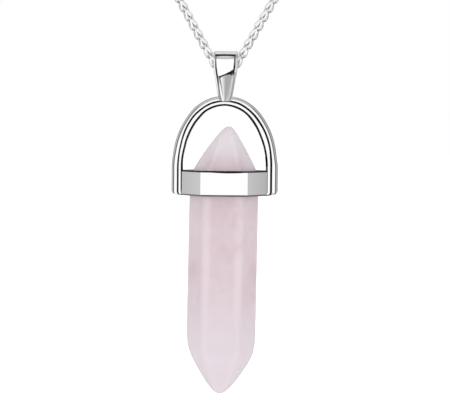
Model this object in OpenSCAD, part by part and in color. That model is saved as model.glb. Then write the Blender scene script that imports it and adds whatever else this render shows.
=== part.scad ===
// Necklace: a six-sided rose quartz point, held in a silver collar under an arch and a tapered bail,
// on a fine silver chain that closes with a ring clasp behind the neck.
// Millimetres. Seen from the front, X runs to the right, Y runs back through the neck and Z runs up.
// The origin is at the nape of the neck, in the middle of the closed clasp.

/* [Quartz point] */
// Length from tip to tip
crystal_l = 31.6; // [26:0.1:36]
// Width over two opposite long edges
crystal_w = 8.1; // [7.6:0.1:8.6]
// How far the upper tip stands above the collar
crystal_rise = 5.17; // [4.8:0.01:6.5]
// Half width gained per millimetre below the upper tip
upper_slope = 0.585; // [0.5:0.005:0.75]
// Half width gained per millimetre above the lower tip
lower_slope = 0.51; // [0.45:0.01:0.8]
// Sideways lean of the stone in its collar, in degrees
crystal_lean = 0.7; // [0:0.1:0.8]
// How far the upper tip lies to the right of the stone's middle
upper_tip_shift = 0.43; // [0:0.01:0.5]

/* [Collar] */
// Height of the six-sided collar
collar_h = 2.98; // [2.2:0.01:4]
// Thickness of its walls
collar_wall = 1; // [0.8:0.05:1.4]
// Bevel along its upper and lower edges
collar_bevel = 0.19; // [0.05:0.01:0.25]
// Space between the collar and the stone
stone_gap = 0.12; // [0.1:0.01:0.2]

/* [Arch] */
// Height of the arch above the collar
arch_h = 8.77; // [8:0.01:12]
// Radius of its tight upper curve
arch_r = 5.25; // [4:0.05:6]
// Where the tight curve ends on each side, in degrees from the top
arch_turn = 53; // [40:1:60]
// How far the strap stands out past the corners of the collar
strap_proud = 0.79; // [0.5:0.01:1.2]
// Width of the strap as seen from the front
strap_w = 1.38; // [1.2:0.02:1.6]
// Depth of the strap from front to back
strap_d = 2; // [1.8:0.1:2.6]
// Width of the rim on the strap's front and back, with the line beside it
rim_w = 0.74; // [0.6:0.02:0.8]
// Width of the line cut between the rim and the round flank
groove = 0.24; // [0.08:0.01:0.3]
// Depth of that line
groove_depth = 0.1; // [0.04:0.01:0.1]
// Bevel along the rim's inner edge
rim_bevel = 0.25; // [0.05:0.01:0.25]

/* [Bail] */
// Outer radius of the bail's loop
bail_r = 2.35; // [2.2:0.05:2.8]
// Thickness of the bail's sheet at the top
bail_wall = 0.4; // [0.35:0.05:0.5]
// Widest width of the bail
bail_w = 2.88; // [2.6:0.02:3]
// Width of the bail where it ends on the arch
bail_foot_w = 1.3; // [1:0.05:1.8]
// Distance from the chain in the bail down to the top of the arch
bail_drop = 2.9; // [2.6:0.1:3.6]
// Inward slope of the bail's front and back legs, in degrees
bail_slope = 21; // [10:0.5:21]
// Depth of the sunk panel on the bail's front
panel_depth = 0.1; // [0.05:0.01:0.15]

/* [Chain] */
// Thickness of the chain
chain_d = 0.9; // [0.7:0.02:0.9]
// Radius and wire of the closed loop at each end of the chain
end_loop_r = 0.9; // [0.8:0.05:1.2]
end_loop_wire = 0.5; // [0.4:0.05:0.5]

/* [Clasp] */
// Radius and wire of the round clasp
clasp_r = 2.4; // [2:0.1:3]
clasp_wire = 1.1; // [0.9:0.1:1.2]
// Radius and wire of the clasp's own eye
eye_r = 0.85; // [0.8:0.05:1]
eye_wire = 0.6; // [0.5:0.05:0.6]
// Radius and wire of the two rings beside the clasp
ring_r = 1.3; // [1.3:0.05:1.6]
ring_wire = 0.6; // [0.5:0.05:0.6]
// Space between rings that hang in each other
link_gap = 0.1; // [0.1:0.01:0.12]

/* [Hidden] */
$fn = 64;
silver = "#e2e3e5";
quartz = "#e6d3d9";
tiny = 0.01;

// Stone: its six sides are softened planes, and a higher power gives a sharper edge
edge_power = 19;
tip_power = 6;
tip_soft_l = 6;
shoulder_power = 12;
tip_blunt_upper = 1.6;
tip_blunt_lower = 3.6;
tip_cut = 0.04;
corner_factor = pow(2, -1 / edge_power) / cos(30);
crystal_apothem = crystal_w / 2 / corner_factor;
side_angles = [-30, -26, -21, -12, 0, 12, 21, 26];
end_l = 8;
end_steps = 11;
end_step_growth = 1.7;
lower_skew = 0.042;
lower_tip_shift = -0.06;
crystal_mid_shift = -0.07;

// Pendant: heights are measured from the chain's middle inside the bail, which is the hinge axis
arch_top = -bail_drop;
collar_top = arch_top - arch_h;
collar_mid = collar_top - collar_h / 2;
collar_bottom = collar_top - collar_h;
collar_apothem = crystal_apothem + stone_gap + collar_wall;
collar_corner_r = collar_apothem / cos(30);
arch_half_w = collar_corner_r + strap_proud;
side_r = (arch_half_w - arch_r * sin(arch_turn)) / (1 - sin(arch_turn));
arch_centre = [0, arch_top - arch_r];
side_centre = [arch_half_w - side_r, arch_centre[1] - (side_r - arch_r) * cos(arch_turn)];
arch_step = 3;
// Shares of their widths that the strap's flank and its rim keep, by the angle up from the arch's side
flank_share = [[0, 1], [10, 0.96], [17, 0.94], [24, 0.91], [36, 0.91], [70, 0.78], [90, 0.835]];
rim_share = [[0, 1], [10, 1.04], [17, 1.08], [24, 1.11], [36, 1.13], [70, 1.03], [90, 0.89]];
flank_sunk = 0.07;
rim_front = strap_d / 2;
flank_front = rim_front - flank_sunk;
flank_w = strap_w - rim_w;
flank_r = (pow(flank_front, 2) + pow(flank_w, 2)) / (2 * flank_w);
flank_angle = asin(flank_front / flank_r);
flank_steps = 8;
leg_short = 0.07;
leg_end = collar_bottom + leg_short;
leg_corner_r = 0.6;
crystal_top = collar_top + crystal_rise;

// Bail: its outline from the front as half width and height, from the top down
bail_half = bail_w / 2;
foot_half = bail_foot_w / 2;
foot_end = arch_top - flank_w * lookup(90, flank_share) - groove / 2;
bail_outline = [
    [bail_half - 0.02, bail_r + 1],
    [bail_half - 0.02, bail_r],
    [bail_half, 1.3],
    [bail_half - 0.04, 0.5],
    [bail_half - 0.17, -0.4],
    [bail_half - 0.36, -1.6],
    [foot_half + 0.22, -2.8],
    [foot_half, foot_end],
    [foot_half, foot_end - 1],
];
bail_hole_r = bail_r - bail_wall;
flare = 0.08;
flare_l = 0.3;
leg_wall = 0.6;
leg_hole_half = 0.9 * bail_hole_r;
leg_hole_top = -0.35 * bail_hole_r;
panel_side = 0.2;
panel_top = bail_r - 0.44;
foot_y = bail_r * cos(bail_slope) - (-foot_end - bail_r * sin(bail_slope)) * tan(bail_slope);

// Chain: half of its route as X, Y and Z, from the lowest point in the bail up to the nape
hinge = [0, -119, -114];
half_route = [
    [0, -119, -114],
    [0.65, -119, -113.85],
    [1.15, -119, -113.45],
    [1.8, -119, -112.35],
    [3, -118.7, -110.2],
    [6, -117.8, -104.8],
    [12, -115.5, -94],
    [20, -111, -79.5],
    [28, -104.5, -65],
    [35.5, -96, -51.5],
    [42, -86, -40],
    [47.5, -74, -30],
    [52, -61, -21.5],
    [55, -48, -14.5],
    [56, -36, -9],
    [52.5, -24, -5.5],
    [45, -14.5, -3],
    [35.5, -7.5, -1.5],
    [24, -2.5, -0.5],
    [14, -0.5, 0],
];
route_steps = 3;
tube_sides = 8;
loop_normal = [0, -0.7, 0.714];

// Clasp: every part of it follows from how rings of these sizes hang in each other
function reach(r_a, wire_a, r_b, wire_b) = r_a + r_b - wire_a / 2 - wire_b / 2 - link_gap;
loop_to_ring = reach(end_loop_r, end_loop_wire, ring_r, ring_wire);
ring_to_clasp = reach(ring_r, ring_wire, clasp_r, clasp_wire);
ring_to_eye = reach(ring_r, ring_wire, eye_r, eye_wire);
eye_neck = 0.15;
clasp_to_eye = clasp_r + eye_r + eye_neck;
right_reach = ring_to_clasp + loop_to_ring + end_loop_r;
left_reach = clasp_to_eye + ring_to_eye + loop_to_ring + end_loop_r;
clasp_x = (left_reach - right_reach) / 2;
eye_x = clasp_x - clasp_to_eye;
ring_right_x = clasp_x + ring_to_clasp;
ring_left_x = eye_x - ring_to_eye;
chain_end = (left_reach + right_reach) / 2;
end_loop_x = chain_end - end_loop_r;

// Joins rings of points, all with the same count, into one closed solid
module loft(rings) {
    n = len(rings[0]);
    m = len(rings);
    points = [for (ring = rings) each ring];
    sides = [
        for (i = [0:m - 2], j = [0:n - 1])
            let (k = (j + 1) % n)
            each [
                [i * n + j, (i + 1) * n + j, (i + 1) * n + k],
                [i * n + j, (i + 1) * n + k, i * n + k],
            ]
    ];
    lower = [for (j = [0:n - 1]) j];
    upper = [for (j = [n:-1:1]) (m - 1) * n + j % n];
    polyhedron(points, concat([lower], sides, [upper]));
}

module ring(r, wire) {
    rotate_extrude()
        translate([r, 0]) circle(d = wire);
}

// Distance from the middle to a six-sided outline with soft corners, whose sides lie at the apothem
function soft_hexagon(angle, apothem, power) =
    let (faces = [for (k = [0:5]) max(0, cos(angle - 60 * k - 30))])
    apothem * pow([for (c = faces) pow(c, power)] * [1, 1, 1, 1, 1, 1], -1 / power);

function hexagon_angles() = [for (k = [0:5], a = side_angles) 60 * k + 30 + a];

// Half width of the stone at a distance from its tip: a blunt tip, a straight slope and a soft shoulder
function end_half_w(t, slope, blunt) =
    let (half = crystal_w / 2, cone = slope * sqrt(pow(t + blunt, 2) - pow(blunt, 2)))
    pow(pow(half, -shoulder_power) + pow(cone, -shoulder_power), -1 / shoulder_power);

function crystal_ring(t, z, slope, blunt, shift, skew) =
    let (near_tip = pow(max(0, 1 - t / end_l), 2))
    let (power = tip_power + (edge_power - tip_power) * min(1, t / tip_soft_l))
    [
        for (a = hexagon_angles())
            let (half = end_half_w(t, slope * (1 + skew * cos(a)), blunt))
            let (r = soft_hexagon(a, half / corner_factor, power))
            [r * cos(a) + shift * near_tip, r * sin(a), z]
    ];

module crystal() {
    steps = [
        for (i = [0:end_steps])
            tip_cut + (end_l - tip_cut) * pow(i / end_steps, end_step_growth)
    ];
    lower = [
        for (t = steps)
            crystal_ring(t, t, lower_slope, tip_blunt_lower, lower_tip_shift, lower_skew)
    ];
    upper = [
        for (i = [end_steps:-1:0])
            crystal_ring(steps[i], crystal_l - steps[i], upper_slope, tip_blunt_upper, upper_tip_shift, 0)
    ];
    color(quartz)
        translate(hinge + [crystal_mid_shift, 0, collar_mid])
        rotate([0, crystal_lean, 0])
        translate([0, 0, crystal_top - collar_mid - crystal_l])
        loft(concat(lower, upper));
}

// Six-sided collar with a flat side to the front and bevelled upper and lower edges
module collar() {
    a = collar_apothem;
    b = collar_apothem - collar_bevel;
    h = collar_h / 2;
    g = collar_h / 2 - collar_bevel;
    slab = [[a, -g], [a, g], [b, h], [-b, h], [-a, g], [-a, -g], [-b, -h], [b, -h]];
    hole = [
        for (angle = hexagon_angles())
            let (r = soft_hexagon(angle, crystal_apothem + stone_gap, edge_power))
            [r * cos(angle), r * sin(angle)]
    ];
    translate([0, 0, collar_mid])
        difference() {
            intersection_for (turn = [30, 90, 150])
                rotate([0, 0, turn])
                rotate([90, 0, 0])
                linear_extrude(4 * collar_apothem, center = true) polygon(slab);
            linear_extrude(2 * collar_h, center = true) polygon(hole);
        }
}

// Half of the strap's cross-section, from its back to its front: how far in from the outer side, how deep
function strap_half() = [
    for (k = [1:flank_steps])
        let (a = flank_angle * k / flank_steps)
        [flank_r - flank_r * cos(a), flank_r * sin(a)],
    [flank_w + groove / 2, flank_front - groove_depth],
    [flank_w + groove, rim_front],
    [strap_w - rim_bevel, rim_front],
    [strap_w, rim_front - rim_bevel],
];

function strap_section() =
    let (half = strap_half())
    [
        [strap_w, 0],
        for (i = [len(half) - 1:-1:0]) [half[i][0], -half[i][1]],
        [0, 0],
        each half,
    ];

// The strap's section where its outer side lies at a radius and an angle from a centre in the front view
function strap_ring(centre, r, angle) =
    let (flank = lookup(angle, flank_share), rim = lookup(angle, rim_share))
    [
        for (p = strap_section())
            let (inward = flank * min(p[0], flank_w) + rim * max(0, p[0] - flank_w))
            [centre[0] + (r - inward) * cos(angle), p[1], centre[1] + (r - inward) * sin(angle)]
    ];

function mirror_ring(points) = [for (p = points) [-p[0], p[1], p[2]]];

module arch() {
    side_turn = 90 - arch_turn;
    side_count = ceil(side_turn / arch_step);
    top_count = ceil(arch_turn / arch_step);
    right = [
        strap_ring([side_centre[0], leg_end], side_r, 0),
        for (i = [0:side_count - 1]) strap_ring(side_centre, side_r, side_turn * i / side_count),
        for (i = [0:top_count - 1]) strap_ring(arch_centre, arch_r, side_turn + arch_turn * i / top_count),
    ];
    left = [for (i = [len(right) - 1:-1:0]) mirror_ring(right[i])];
    difference() {
        loft(concat(right, [strap_ring(arch_centre, arch_r, 90)], left));
        for (side = [0, 1])
            mirror([side, 0, 0])
            translate([arch_half_w - leg_corner_r, 0, leg_end])
            rotate([90, 0, 0])
            linear_extrude(2 * strap_d, center = true)
            difference() {
                translate([0, -1]) square([leg_corner_r + 1, leg_corner_r + 1]);
                translate([0, leg_corner_r]) circle(leg_corner_r);
            }
    }
}

// The bail from the side: a round loop that narrows into two legs, drawn smaller by inset
module bail_side(inset) {
    r = bail_r - inset;
    c = cos(bail_slope);
    s = sin(bail_slope);
    y = foot_y - inset / c;
    circle(r);
    polygon([[-r * c, -r * s], [-y, foot_end], [y, foot_end], [r * c, -r * s]]);
}

// The bail from the front, drawn smaller by inset
module bail_front(inset) {
    rows = bail_outline;
    polygon([
        for (row = rows) [row[0] - inset, row[1]],
        for (i = [len(rows) - 1:-1:0]) [inset - rows[i][0], rows[i][1]],
    ]);
}

module bail_panel() {
    intersection() {
        rotate([90, 0, 90])
            linear_extrude(2 * bail_w, center = true)
            difference() {
                translate([-2 * bail_r, foot_end - 1]) square([2 * bail_r, panel_top - foot_end + 1]);
                bail_side(panel_depth);
            }
        rotate([90, 0, 0])
            linear_extrude(2 * bail_r) bail_front(panel_side);
    }
}

module bail_hole() {
    rotate([0, 90, 0]) cylinder(r = bail_hole_r, h = 2 * bail_w, center = true);
    for (side = [-1, 1])
        translate([side * bail_half, 0, 0])
            rotate([0, side * 90, 0])
            translate([0, 0, -flare_l])
            cylinder(r1 = bail_hole_r - tiny, r2 = bail_hole_r + 2 * flare, h = 2 * flare_l);
    rotate([90, 0, 90])
        linear_extrude(2 * bail_w, center = true)
        polygon([
            [-leg_hole_half, leg_hole_top],
            [leg_wall - foot_y, foot_end + tiny],
            [foot_y - leg_wall, foot_end + tiny],
            [leg_hole_half, leg_hole_top],
        ]);
}

module bail() {
    difference() {
        intersection() {
            rotate([90, 0, 90])
                linear_extrude(2 * bail_w, center = true) bail_side(0);
            rotate([90, 0, 0])
                linear_extrude(4 * bail_r, center = true) bail_front(0);
        }
        bail_hole();
        bail_panel();
    }
}

module holder() {
    color(silver)
        translate(hinge) {
            collar();
            arch();
            bail();
        }
}

// Direction of the route at each of its points, from the two stretches beside it
function unit(v) = v / norm(v);
function headings(p) = [
    for (i = [0:len(p) - 1])
        i == 0 ? [1, 0, 0] :
        i == len(p) - 1 ? [-1, 0, 0] :
        let (a = p[i] - p[i - 1], b = p[i + 1] - p[i])
        unit(a / norm(a) * norm(b) + b / norm(b) * norm(a))
];

// A point on the smooth curve from p to q, whose headings there are u and v
function between(p, q, u, v, s) =
    let (d = norm(q - p))
    (2 * pow(s, 3) - 3 * pow(s, 2) + 1) * p + (pow(s, 3) - 2 * pow(s, 2) + s) * d * u
    + (3 * pow(s, 2) - 2 * pow(s, 3)) * q + (pow(s, 3) - pow(s, 2)) * d * v;

function smooth(p) =
    let (h = headings(p))
    concat(
        [
            for (i = [0:len(p) - 2], k = [0:route_steps - 1])
                between(p[i], p[i + 1], h[i], h[i + 1], k / route_steps)
        ],
        [p[len(p) - 1]]
    );

function mirrored(p) = [for (i = [len(p) - 1:-1:1]) [-p[i][0], p[i][1], p[i][2]]];

function tube_ring(path, i, d) =
    let (last = len(path) - 1)
    let (along = unit(path[min(i + 1, last)] - path[max(i - 1, 0)]))
    let (u = unit(cross(along, loop_normal)), v = cross(along, u))
    [
        for (j = [0:tube_sides - 1])
            let (a = 360 * (j + 0.5) / tube_sides)
            path[i] + d / 2 / cos(180 / tube_sides) * (cos(a) * u + sin(a) * v)
    ];

module chain() {
    right = smooth(concat(half_route, [[chain_end, 0, 0]]));
    path = concat(mirrored(right), right);
    color(silver) {
        loft([for (i = [0:len(path) - 1]) tube_ring(path, i, chain_d)]);
        for (side = [-1, 1])
            translate([side * end_loop_x, 0, 0])
                rotate([90, 0, 0]) ring(end_loop_r, end_loop_wire);
    }
}

module clasp() {
    color(silver)
        rotate([90, 0, 0]) {
            translate([clasp_x, 0, 0]) ring(clasp_r, clasp_wire);
            translate([eye_x, 0, 0]) ring(eye_r, eye_wire);
        }
}

module end_ring(x) {
    color(silver)
        translate([x, 0, 0]) ring(ring_r, ring_wire);
}

crystal();
holder();
chain();
clasp();
end_ring(ring_left_x);  // end_ring_left
end_ring(ring_right_x);  // end_ring_right
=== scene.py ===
import bpy
import math
from mathutils import Matrix, Vector


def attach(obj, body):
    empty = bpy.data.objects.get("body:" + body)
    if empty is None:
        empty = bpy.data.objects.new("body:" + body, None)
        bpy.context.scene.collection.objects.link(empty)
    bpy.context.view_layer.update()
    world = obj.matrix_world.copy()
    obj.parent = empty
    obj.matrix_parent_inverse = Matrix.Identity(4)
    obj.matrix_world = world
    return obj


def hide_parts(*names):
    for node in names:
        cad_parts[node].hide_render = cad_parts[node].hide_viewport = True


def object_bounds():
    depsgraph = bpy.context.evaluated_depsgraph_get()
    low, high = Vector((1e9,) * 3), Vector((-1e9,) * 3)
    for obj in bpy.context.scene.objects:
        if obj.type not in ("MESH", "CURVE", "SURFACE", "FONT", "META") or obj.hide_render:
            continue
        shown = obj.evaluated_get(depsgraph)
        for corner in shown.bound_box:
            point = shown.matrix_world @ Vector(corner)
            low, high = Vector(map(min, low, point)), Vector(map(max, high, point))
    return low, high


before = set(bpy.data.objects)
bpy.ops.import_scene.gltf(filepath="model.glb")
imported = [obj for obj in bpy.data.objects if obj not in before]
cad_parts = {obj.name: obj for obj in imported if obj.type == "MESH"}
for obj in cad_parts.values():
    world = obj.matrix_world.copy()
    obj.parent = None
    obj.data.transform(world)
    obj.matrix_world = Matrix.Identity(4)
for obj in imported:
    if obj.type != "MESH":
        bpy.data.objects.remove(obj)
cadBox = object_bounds()
scene = bpy.context.scene
mm = 0.001
hinge = Vector((0, -119, -114))  # where the chain hangs through the bail, in mm


# Camera at the photo's angle, with angles in degrees and lengths in mm

photoView = {
    "azimuth": 1.0,
    "elevation": 2.1,
    "roll": 0.5,
    "distance": 300,
    "lens": 203.4,
    "target": (0.05, -119, -129.2),
    "clip": (0.01, 10),  # in metres
}


def makeCamera(v):
    camera = bpy.data.objects.new("photoCamera", bpy.data.cameras.new("photoCamera"))
    scene.collection.objects.link(camera)
    a, e = math.radians(v["azimuth"]), math.radians(v["elevation"])
    back = Vector((math.sin(a) * math.cos(e), -math.cos(a) * math.cos(e), math.sin(e)))
    turn = (-back).to_track_quat("-Z", "Y").to_matrix().to_4x4()
    place = Matrix.Translation((Vector(v["target"]) + back * v["distance"]) * mm)
    camera.matrix_world = place @ turn @ Matrix.Rotation(math.radians(v["roll"]), 4, "Z")
    camera.data.lens = v["lens"]
    camera.data.clip_start, camera.data.clip_end = v["clip"]
    scene.camera = camera


makeCamera(photoView)
scene.view_settings.view_transform = "Standard"
print("camera is at the photo's angle")


# Small helpers for shader nodes

def addNode(tree, kind, inputs=None, **settings):
    node = tree.nodes.new(kind)
    for key, value in settings.items():
        setattr(node, key, value)
    for key, value in (inputs or {}).items():
        if isinstance(value, bpy.types.NodeSocket):
            tree.links.new(value, node.inputs[key])
        else:
            node.inputs[key].default_value = value
    return node


def calc(tree, operation, a, b=0.0):
    return addNode(tree, "ShaderNodeMath", {0: a, 1: b}, operation=operation).outputs[0]


def fade(tree, value, low, high, lowTo=0.0, highTo=1.0, curve="SMOOTHSTEP"):
    ends = {"From Min": low, "From Max": high, "To Min": lowTo, "To Max": highTo}
    node = addNode(tree, "ShaderNodeMapRange", {"Value": value, **ends}, interpolation_type=curve)
    return node.outputs["Result"]


def mixColor(tree, factor, a, b):
    node = addNode(tree, "ShaderNodeMix", data_type="RGBA")
    for index, value in ((0, factor), (6, a), (7, b)):
        if isinstance(value, bpy.types.NodeSocket):
            tree.links.new(value, node.inputs[index])
        else:
            node.inputs[index].default_value = value if index == 0 else (*value[:3], 1.0)
    return node.outputs[2]


def grey(value):
    return (value, value, value)


def addNoise(tree, where, scale, detail, warp=0.0):
    inputs = {"Vector": where, "Scale": scale, "Detail": detail, "Distortion": warp}
    return addNode(tree, "ShaderNodeTexNoise", inputs).outputs["Fac"]


def readMask(tree, name):
    return addNode(tree, "ShaderNodeAttribute", attribute_name=name).outputs["Fac"]


def newMaterial(name):
    material = bpy.data.materials.new(name)
    material.use_nodes = True
    tree = material.node_tree
    return material, tree, tree.nodes["Principled BSDF"]


# Small helpers for meshes, whose points are in mm

def buildPiece(name, points, faces, materials, body, standsFor, kinds=None, sharpAt=30, masks=None):
    mesh = bpy.data.meshes.new(name)
    mesh.from_pydata([[c * mm for c in p] for p in points], [], faces)
    for material in materials:
        mesh.materials.append(material)
    if kinds:
        mesh.polygons.foreach_set("material_index", kinds)
    mesh.shade_smooth()
    mesh.set_sharp_from_angle(angle=math.radians(sharpAt))
    for mask, values in (masks or {}).items():
        mesh.attributes.new(mask, "FLOAT", "POINT").data.foreach_set("value", values)
    piece = bpy.data.objects.new(name, mesh)
    scene.collection.objects.link(piece)
    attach(piece, body)
    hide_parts(standsFor)
    return piece


def skin(rings, closed=False):
    # quads between rings of points, with the ring and the place in it for each face
    around = len(rings[0])
    points = [p for ring in rings for p in ring]
    faces, places = [], []
    for i in range(len(rings) if closed else len(rings) - 1):
        a, b = i * around, (i + 1) % len(rings) * around
        for j in range(around):
            k = (j + 1) % around
            faces.append((a + j, a + k, b + k, b + j))
            places.append((i, j))
    if not closed:
        faces.append(tuple(range(around))[::-1])
        faces.append(tuple(range((len(rings) - 1) * around, len(rings) * around)))
        places += [(-1, -1), (-1, -1)]
    return points, faces, places


def smoothStep(value, low, high):
    t = min(1, max(0, (value - low) / (high - low)))
    return t * t * (3 - 2 * t)


def tableAt(rows, place):
    # what a table holds at a place between two of its rows, whose first column is the place
    for low, high in zip(rows, rows[1:]):
        if place <= high[0]:
            t = (place - low[0]) / (high[0] - low[0])
            return [a + (b - a) * t for a, b in zip(low[1:], high[1:])]
    return list(rows[-1][1:])


# Studio: a white tent with grey behind the object, seen in the silver, and a pale floor

studio = {
    # how bright each part of the tent is
    "front": 1.05,
    "overhead": 0.60,
    "below": 0.10,
    "lowRight": 0.42,
    "lowFarRight": 0.69,
    "sidePane": 0.50,  # grey pane to the right, as it shows along the bail's right border
    "tableEdge": 0.01,
    "sideBand": 0.18,  # narrow dark band between the front and the grey behind
    "zenithBand": 0.52,  # the same band high up
    "besideLeft": 0.64,  # just behind the side band, where the collar's side faces look
    "besideRight": 0.59,
    "behindLeft": 0.50,
    "behindRight": 0.39,
    "farLeft": 0.33,
    "farRight": 0.25,
    "skylight": 0.72,  # light strip high behind the object
    # where they begin and end, by the direction looked in: x to the right, y to the back and z up
    "backY": (-0.19, -0.05),
    "overheadZ": (0.93, 0.995),
    "belowZ": (-0.76, -0.92),
    "belowBehindZ": (-0.5, -0.8),
    "lowRightX": (-0.37, 0.03),
    "lowFarRightX": (0.50, 0.56),
    "paneLeftX": (0.34, 0.42),
    "paneRightX": (0.56, 0.62),
    "paneTopZ": (0.3, 0.5),
    "leftToRightX": (-0.5, 0.5),
    "bandY": (0.31, 0.38),
    "bandZ": (0.7, 0.85),
    "behindY": (0.42, 0.60),
    "farY": (0.66, 0.80),
    "skylightX": (0.08, 0.16),
    "skylightY": (0.2, 0.3),
    "skylightZ": (0.2, 0.3),
    # dark edge of the table in front, as it shows in the bail: it falls to the left and rises to the right
    "edgeHeight": -0.325,
    "edgeFall": 0.27,
    "edgeFallX": (-0.36, 0.06),
    "edgeEndFall": 0.04,
    "edgeEndFallX": (-0.46, -0.36),
    "edgeRise": 0.15,
    "edgeRiseX": (0.06, 0.36),
    "edgeWidths": (0.08, 0.15),
    "edgeWidthsX": (0.0, 0.24),
    "edgeEndWidths": (0.0, 0.17),
    "edgeEndWidthsX": (0.26, 0.36),
    "edgeSoft": (0.7, 1.1),
    "edgeEndsX": (0.37, 0.46),
    "tableTopZ": (-0.02, 0.0),
    # the floor
    "floorDrop": 30,  # mm below the lower tip
    "floorHalf": 3,  # in metres
    "paperScale": 40.0,
    "paperGreys": (0.90, 0.93),
    "paperRoughness": 0.9,
    "paperGlow": 0.35,
}


def tentFront(tree, x, z, s):
    slope = calc(tree, "ADD", fade(tree, x, *s["edgeFallX"], -s["edgeFall"], 0.0, "LINEAR"),
                 fade(tree, x, *s["edgeRiseX"], 0.0, s["edgeRise"], "LINEAR"))
    slope = calc(tree, "ADD", slope, fade(tree, x, *s["edgeEndFallX"], -s["edgeEndFall"], 0.0, "LINEAR"))
    above = calc(tree, "SUBTRACT", calc(tree, "SUBTRACT", z, slope), s["edgeHeight"])
    toRight = fade(tree, x, *s["lowRightX"], curve="LINEAR")
    low = mixColor(tree, toRight, grey(s["front"]), grey(s["lowRight"]))
    low = mixColor(tree, fade(tree, x, *s["lowFarRightX"]), low, grey(s["lowFarRight"]))
    color = mixColor(tree, fade(tree, above, *s["tableTopZ"]), low, grey(s["front"]))
    edgeWidth = calc(tree, "ADD", fade(tree, x, *s["edgeWidthsX"], *s["edgeWidths"]),
                     fade(tree, x, *s["edgeEndWidthsX"], *s["edgeEndWidths"]))
    fromEdge = calc(tree, "DIVIDE", calc(tree, "ABSOLUTE", above), edgeWidth)
    edgeEnds = fade(tree, calc(tree, "ABSOLUTE", x), *s["edgeEndsX"], 1.0, 0.0)
    edge = calc(tree, "MULTIPLY", fade(tree, fromEdge, *s["edgeSoft"], 1.0, 0.0), edgeEnds)
    color = mixColor(tree, edge, color, grey(s["tableEdge"]))
    pane = calc(tree, "MULTIPLY", fade(tree, x, *s["paneLeftX"]), fade(tree, x, *s["paneRightX"], 1.0, 0.0))
    pane = calc(tree, "MULTIPLY", pane, fade(tree, z, *s["paneTopZ"], 1.0, 0.0))
    color = mixColor(tree, pane, color, grey(s["sidePane"]))
    color = mixColor(tree, fade(tree, z, *s["overheadZ"]), color, grey(s["overhead"]))
    return mixColor(tree, fade(tree, z, *s["belowZ"]), color, grey(s["below"]))


def tentBack(tree, x, y, z, s):
    toRight = fade(tree, x, *s["leftToRightX"])
    beside, behind, far = (mixColor(tree, toRight, grey(s[part + "Left"]), grey(s[part + "Right"]))
                           for part in ("beside", "behind", "far"))
    band = mixColor(tree, fade(tree, z, *s["bandZ"]), grey(s["sideBand"]), grey(s["zenithBand"]))
    color = mixColor(tree, fade(tree, y, *s["behindY"], curve="LINEAR"), beside, behind)
    color = mixColor(tree, fade(tree, y, *s["bandY"]), band, color)
    color = mixColor(tree, fade(tree, y, *s["farY"]), color, far)
    strip = calc(tree, "MULTIPLY", fade(tree, calc(tree, "ABSOLUTE", x), *s["skylightX"], 1.0, 0.0),
                 fade(tree, z, *s["skylightZ"]))
    strip = calc(tree, "MULTIPLY", strip, fade(tree, y, *s["skylightY"]))
    color = mixColor(tree, strip, color, grey(s["skylight"]))
    return mixColor(tree, fade(tree, z, *s["belowBehindZ"]), color, grey(s["below"]))


def makeTent(s):
    world = bpy.data.worlds.new("studioTent")
    scene.world = world
    world.use_nodes = True
    tree = world.node_tree
    tree.nodes.clear()
    direction = addNode(tree, "ShaderNodeTexCoord").outputs["Generated"]
    x, y, z = addNode(tree, "ShaderNodeSeparateXYZ", {0: direction}).outputs
    tent = mixColor(tree, fade(tree, y, *s["backY"]), tentFront(tree, x, z, s), tentBack(tree, x, y, z, s))
    # only mirrored light sees the tent: the picture's ground and the soft light are plain white
    path = addNode(tree, "ShaderNodeLightPath").outputs
    plain = calc(tree, "MAXIMUM", path["Is Camera Ray"], path["Is Diffuse Ray"])
    color = mixColor(tree, plain, tent, grey(1.0))
    light = addNode(tree, "ShaderNodeBackground", {"Color": color, "Strength": 1.0})
    addNode(tree, "ShaderNodeOutputWorld", {"Surface": light.outputs[0]})


def makeFloor(s):
    material, tree, shader = newMaterial("paleFloor")
    grain = addNode(tree, "ShaderNodeTexNoise", {"Scale": s["paperScale"], "Detail": 3.0}).outputs["Fac"]
    dark, pale = s["paperGreys"]
    tree.links.new(mixColor(tree, grain, grey(dark), grey(pale)), shader.inputs["Base Color"])
    shader.inputs["Roughness"].default_value = s["paperRoughness"]
    shader.inputs["Emission Color"].default_value = (1, 1, 1, 1)
    shader.inputs["Emission Strength"].default_value = s["paperGlow"]
    half, z = s["floorHalf"], cadBox[0][2] - s["floorDrop"] * mm
    mesh = bpy.data.meshes.new("floor")
    corners = [(-half, -half, z), (half, -half, z), (half, half, z), (-half, half, z)]
    mesh.from_pydata(corners, [], [(0, 1, 2, 3)])
    mesh.materials.append(material)
    floor = bpy.data.objects.new("floor", mesh)
    scene.collection.objects.link(floor)
    floor.visible_glossy = False


makeTent(studio)
makeFloor(studio)
print("studio is lit")


# Finishes, with painted shade on the holder's lines and in the chain's weave. Two effects are node groups
# that several materials use.

surface = {
    "hazeScale": 1000.0,  # fine haze that makes the polish uneven
    "hazeDetail": 4.0,
    "waveScale": 350.0,  # broad waves left by polishing by hand
    "waveHeight": 0.0002,  # in metres
    "patchScale": 1500.0,  # patches where the painted shade is thinner
    "patchSpan": (0.25, 0.7),
    "patchShares": (0.985, 1.0),
}


def openGroup(name, ins, outs):
    group = bpy.data.node_groups.new(name, "ShaderNodeTree")
    for label, kind, value in ins:
        socket = group.interface.new_socket(label, in_out="INPUT", socket_type=kind)
        socket.default_value = value
    for label, kind in outs:
        group.interface.new_socket(label, in_out="OUTPUT", socket_type=kind)
    return group, addNode(group, "NodeGroupInput").outputs, addNode(group, "NodeGroupOutput")


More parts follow.
